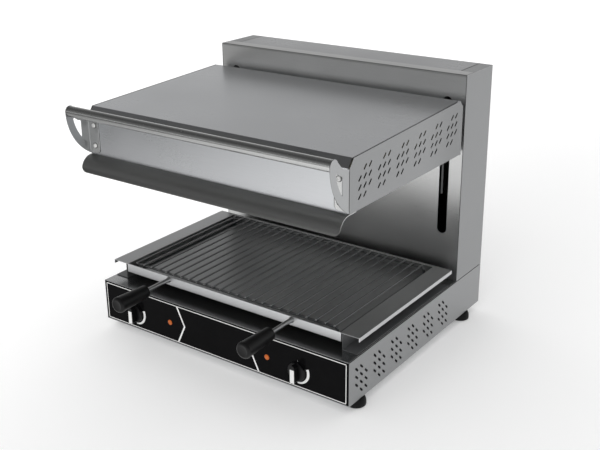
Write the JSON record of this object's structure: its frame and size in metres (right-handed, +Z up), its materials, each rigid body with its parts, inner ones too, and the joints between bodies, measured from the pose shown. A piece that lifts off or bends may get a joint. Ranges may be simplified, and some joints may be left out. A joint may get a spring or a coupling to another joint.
{
  "type": "salamander grill",
  "caption": "Countertop salamander grill: low base with a drip tray and wire rack, rear column, and a hood with heating elements that rises and falls above the rack",
  "frame": {"origin": "centre of the footprint box, on the surface that the four rubber feet stand on", "axes": "+X to the right seen from the front, +Y to the back, where the column is, +Z up"},
  "size_m": [0.612, 0.6318, 0.533],
  "materials": {
    "brushed_sheet": "fine brushed stainless sheet",
    "polished_sheet": "smooth stainless sheet with a soft mirror sheen",
    "bright_steel": "bright drawn stainless",
    "plain_steel": "plain mill-finish steel",
    "black_gloss": "gloss black printed overlay",
    "black_plastic": "moulded black thermoset, satin",
    "white_plastic": "white insert, satin",
    "cream_plastic": "heat-proof moulding",
    "amber_lens": "translucent amber lens",
    "black_rubber": "matt black rubber",
    "bush_brass": "plain turned bearing metal",
    "element_sheath": "oxidised heating element sheath",
    "mineral_wool": "compressed mineral fibre"
  },
  "bodies": {
    "root": {"base_bottom_plate": "brushed_sheet", "base_side_left": "brushed_sheet", "base_side_right": "brushed_sheet", "deck_plate": "brushed_sheet", "control_panel_fascia": "black_gloss", "control_panel_frame": "brushed_sheet", "foot_front_left": "black_rubber", "foot_front_right": "black_rubber", "foot_rear_left": "black_rubber", "foot_rear_right": "black_rubber", "pilot_lamp_left": "amber_lens", "pilot_lamp_right": "amber_lens", "regulator_left": "cream_plastic", "regulator_right": "cream_plastic", "terminal_block": "cream_plastic", "cable_gland": "black_plastic", "column_front_panel": "brushed_sheet", "column_side_left": "brushed_sheet", "column_side_right": "brushed_sheet", "column_top_cap": "brushed_sheet", "rear_cover": "brushed_sheet", "guide_bracket_bottom": "plain_steel", "guide_bracket_top": "plain_steel", "guide_rod_left": "bright_steel", "guide_rod_right": "bright_steel", "gas_strut_cylinder_left": "black_plastic", "gas_strut_cylinder_right": "black_plastic", "tray_rail_left": "brushed_sheet", "tray_rail_right": "brushed_sheet"},
    "hood": {"hood_top_shell": "brushed_sheet", "hood_rear_panel": "brushed_sheet", "hood_side_left": "brushed_sheet", "hood_side_right": "brushed_sheet", "heat_reflector": "polished_sheet", "insulation_pad": "mineral_wool", "heating_element_left": "element_sheath", "heating_element_right": "element_sheath", "element_support_1": "plain_steel", "element_support_2": "plain_steel", "front_lip": "brushed_sheet", "handle_ear_left": "brushed_sheet", "handle_ear_right": "brushed_sheet", "handle_bar": "bright_steel", "carriage_beam": "plain_steel", "guide_bush_left": "bush_brass", "guide_bush_right": "bush_brass", "lift_arm_left": "plain_steel", "lift_arm_right": "plain_steel", "gas_strut_rod_left": "bright_steel", "gas_strut_rod_right": "bright_steel"},
    "tray": {"drip_tray": "polished_sheet", "tray_handle_rod_left": "bright_steel", "tray_handle_rod_right": "bright_steel", "tray_grip_left": "black_plastic", "tray_grip_right": "black_plastic"},
    "rack": {"wire_rack": "bright_steel", "rack_runner_left": "bright_steel", "rack_runner_right": "bright_steel"},
    "left_knob": {"knob_left": "black_plastic"},
    "right_knob": {"knob_right": "black_plastic"}
  },
  "joints": [
    {"name": "hood_lift", "type": "slide", "parent": "root", "child": "hood", "axis": [0, 0, 1], "range_m": [-0.165, 0.015]},
    {"name": "tray_slide", "type": "slide", "parent": "root", "child": "tray", "axis": [0, -1, 0], "range_m": [0, 0.3]},
    {"name": "rack_lift", "type": "slide", "parent": "tray", "child": "rack", "axis": [0, 0, 1], "range_m": [0, 0.06]},
    {"name": "knob_left_turn", "type": "hinge", "parent": "root", "child": "left_knob", "pos_m": [-0.214, -0.2099, 0.055], "axis": [0, 1, 0], "range_deg": [0, 270]},
    {"name": "knob_right_turn", "type": "hinge", "parent": "root", "child": "right_knob", "pos_m": [0.19, -0.2099, 0.055], "axis": [0, 1, 0], "range_deg": [0, 270]}
  ]
}
